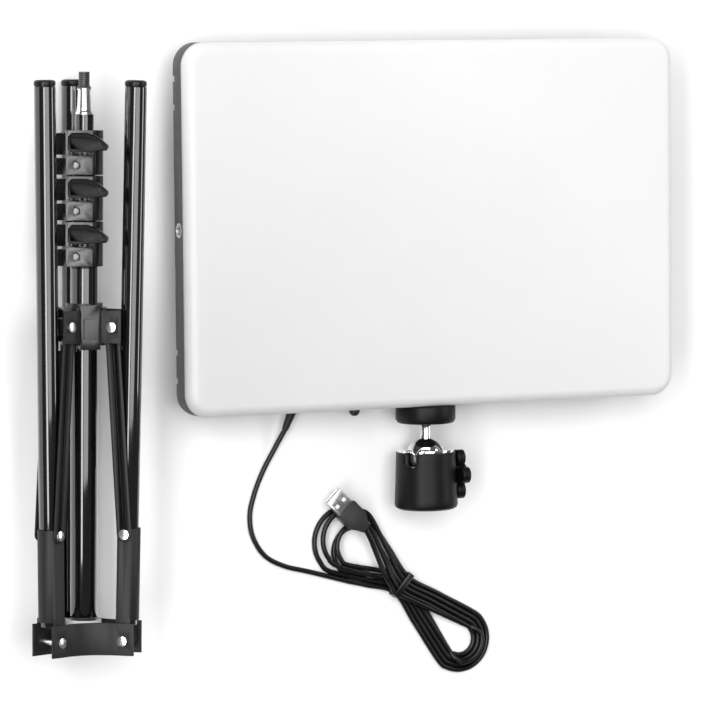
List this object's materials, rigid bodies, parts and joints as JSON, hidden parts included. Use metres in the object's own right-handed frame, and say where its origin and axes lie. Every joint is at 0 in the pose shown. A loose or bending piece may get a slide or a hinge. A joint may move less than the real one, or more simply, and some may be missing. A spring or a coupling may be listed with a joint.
{
  "type": "photo panel lamp with stand",
  "caption": "Flat LED panel lamp with ball head, tied USB lead and folded telescopic light stand, laid out on a table.",
  "frame": {"origin": "centre of the lamp's back face, on the table the kit lies on", "axes": "+X to the lamp's right, +Y to its top edge, +Z out of the diffuser"},
  "size_m": [0.4331, 0.3934, 0.0655],
  "materials": {
    "housing_grey": "fine texture",
    "opal_white": "satin opal",
    "board_white": "white solder mask",
    "led_yellow": "phosphor",
    "board_green": "solder mask",
    "steel": "machined",
    "button_black": "satin",
    "gland_black": "matte",
    "head_black": "satin anodised",
    "chrome": "polished",
    "cup_nylon": "moulded",
    "knob_black": "moulded",
    "brass": "machined",
    "cord_black": "semi gloss",
    "plug_black": "matte",
    "tongue_white": "moulded",
    "gloss_black": "high gloss",
    "plate_black": "satin",
    "core_grey": "moulded",
    "nickel": "nickel plated",
    "clamp_black": "moulded",
    "cap_black": "satin"
  },
  "bodies": {
    "lamp": {"rear_housing": "housing_grey", "front_diffuser": "opal_white", "led_board": "board_white", "led_chips": "led_yellow", "control_board": "board_green", "housing_screws": "steel", "bottom_mount_nut": "steel", "side_mount_nut": "steel", "cord_gland": "gland_black", "cord_lead": "cord_black", "cord_hank": "cord_black", "cord_tie": "cord_black", "plug_body": "plug_black", "plug_shell": "steel", "plug_tongue": "tongue_white"},
    "button": {"power_button": "button_black"},
    "ball": {"ball_platform": "head_black", "mount_screw": "steel", "ball_stem": "chrome"},
    "head": {"head_base": "head_black", "friction_cup": "cup_nylon", "head_ring": "chrome", "base_insert": "brass"},
    "head_knob": {"lock_knob": "knob_black", "lock_screw": "steel"},
    "stand": {"main_tube": "gloss_black", "hub_plate": "plate_black", "hub_core": "core_grey", "hub_rivets": "nickel", "clamp_3": "clamp_black", "clamp_screw_3": "nickel"},
    "section_2": {"tube_2": "gloss_black", "clamp_2": "clamp_black", "clamp_screw_2": "nickel"},
    "section_3": {"tube_3": "gloss_black", "clamp_1": "clamp_black", "clamp_screw_1": "nickel"},
    "section_4": {"tube_4": "gloss_black", "spigot": "chrome"},
    "slider": {"slider_collar": "clamp_black", "slider_plate": "plate_black", "slider_rivets": "nickel"},
    "knob_1": {"clamp_knob_1": "knob_black"},
    "leg_1": {"leg_tube_1": "gloss_black", "leg_bracket_1": "plate_black", "foot_cap_1": "cap_black"},
    "brace_1": {"brace_1": "plate_black", "brace_rivets_1": "nickel"},
    "knob_2": {"clamp_knob_2": "knob_black"},
    "leg_2": {"leg_tube_2": "gloss_black", "leg_bracket_2": "plate_black", "foot_cap_2": "cap_black"},
    "brace_2": {"brace_2": "plate_black", "brace_rivets_2": "nickel"},
    "knob_3": {"clamp_knob_3": "knob_black"},
    "leg_3": {"leg_tube_3": "gloss_black", "leg_bracket_3": "plate_black", "foot_cap_3": "cap_black"},
    "brace_3": {"brace_3": "plate_black", "brace_rivets_3": "nickel"}
  },
  "joints": [
    {"name": "button_press", "type": "slide", "parent": "lamp", "child": "button", "axis": [0, 1, 0], "range_m": [0, 0.001], "stiffness_N_per_m": 600, "springref_m": -0.0005},
    {"name": "head_pan", "type": "hinge", "parent": "lamp", "child": "ball", "pos_m": [0, -0.117, 0.021], "axis": [0, 1, 0], "continuous": true},
    {"name": "head_tilt", "type": "hinge", "parent": "ball", "child": "head", "pos_m": [0, -0.144, 0.021], "axis": [-0.515, 0, -0.8572], "range_deg": [-45, 90]},
    {"name": "head_lock", "type": "hinge", "parent": "head", "child": "head_knob", "pos_m": [0.02, -0.155, 0.021], "axis": [1, 0, 0], "range_deg": [0, 360]},
    {"name": "stand_lift", "type": "slide", "parent": "lamp", "child": "stand", "axis": [0, 0, 1], "range_m": [0, 0.15]},
    {"name": "extend_2", "type": "slide", "parent": "stand", "child": "section_2", "axis": [0.0157, 0.9999, 0], "range_m": [0, 0.185]},
    {"name": "extend_3", "type": "slide", "parent": "section_2", "child": "section_3", "axis": [0.0157, 0.9999, 0], "range_m": [0, 0.185]},
    {"name": "extend_4", "type": "slide", "parent": "section_3", "child": "section_4", "axis": [0.0157, 0.9999, 0], "range_m": [0, 0.185]},
    {"name": "clamp_turn_3", "type": "hinge", "parent": "stand", "child": "knob_3", "pos_m": [-0.2358, 0.00086, 0.04887], "axis": [-0.4539, 0.0071, 0.891], "range_deg": [0, 80]},
    {"name": "clamp_turn_2", "type": "hinge", "parent": "section_2", "child": "knob_2", "pos_m": [-0.23538, 0.02755, 0.04887], "axis": [-0.4539, 0.0071, 0.891], "range_deg": [0, 80]},
    {"name": "clamp_turn_1", "type": "hinge", "parent": "section_3", "child": "knob_1", "pos_m": [-0.23496, 0.05425, 0.04887], "axis": [-0.4539, 0.0071, 0.891], "range_deg": [0, 80]},
    {"name": "leg_fold_1", "type": "hinge", "parent": "stand", "child": "leg_1", "pos_m": [-0.2582, -0.23702, 0.04749], "axis": [0.3648, -0.0057, 0.9311], "range_deg": [0, 120]},
    {"name": "leg_fold_2", "type": "hinge", "parent": "stand", "child": "leg_2", "pos_m": [-0.21368, -0.23772, 0.05422], "axis": [0.6238, -0.0098, -0.7815], "range_deg": [0, 120]},
    {"name": "leg_fold_3", "type": "hinge", "parent": "stand", "child": "leg_3", "pos_m": [-0.23011, -0.23746, 0.01229], "axis": [-0.9886, 0.0155, -0.1495], "range_deg": [0, 120]},
    {"name": "slider_slide", "type": "slide", "parent": "stand", "child": "slider", "axis": [0.0157, 0.9999, 0], "range_m": [-0.11109, 0]},
    {"name": "brace_turn_1", "type": "hinge", "parent": "slider", "child": "brace_1", "pos_m": [-0.24926, -0.05294, 0.04512], "axis": [-0.3648, 0.0057, -0.9311], "range_deg": [0, 26.24]},
    {"name": "brace_turn_2", "type": "hinge", "parent": "slider", "child": "brace_2", "pos_m": [-0.21587, -0.05346, 0.05017], "axis": [-0.6238, 0.0098, 0.7815], "range_deg": [0, 26.24]},
    {"name": "brace_turn_3", "type": "hinge", "parent": "slider", "child": "brace_3", "pos_m": [-0.22819, -0.05327, 0.01872], "axis": [0.9886, -0.0155, 0.1495], "range_deg": [0, 26.24]}
  ],
  "couplings": [
    {"joint": "leg_fold_2", "follows": "leg_fold_1", "ratio": 1},
    {"joint": "leg_fold_3", "follows": "leg_fold_1", "ratio": 1},
    {"joint": "slider_slide", "follows": "leg_fold_1", "m_per_rad": -0.052944},
    {"joint": "brace_turn_1", "follows": "leg_fold_1", "ratio": 0.21829},
    {"joint": "brace_turn_2", "follows": "leg_fold_1", "ratio": 0.21829},
    {"joint": "brace_turn_3", "follows": "leg_fold_1", "ratio": 0.21829}
  ]
}
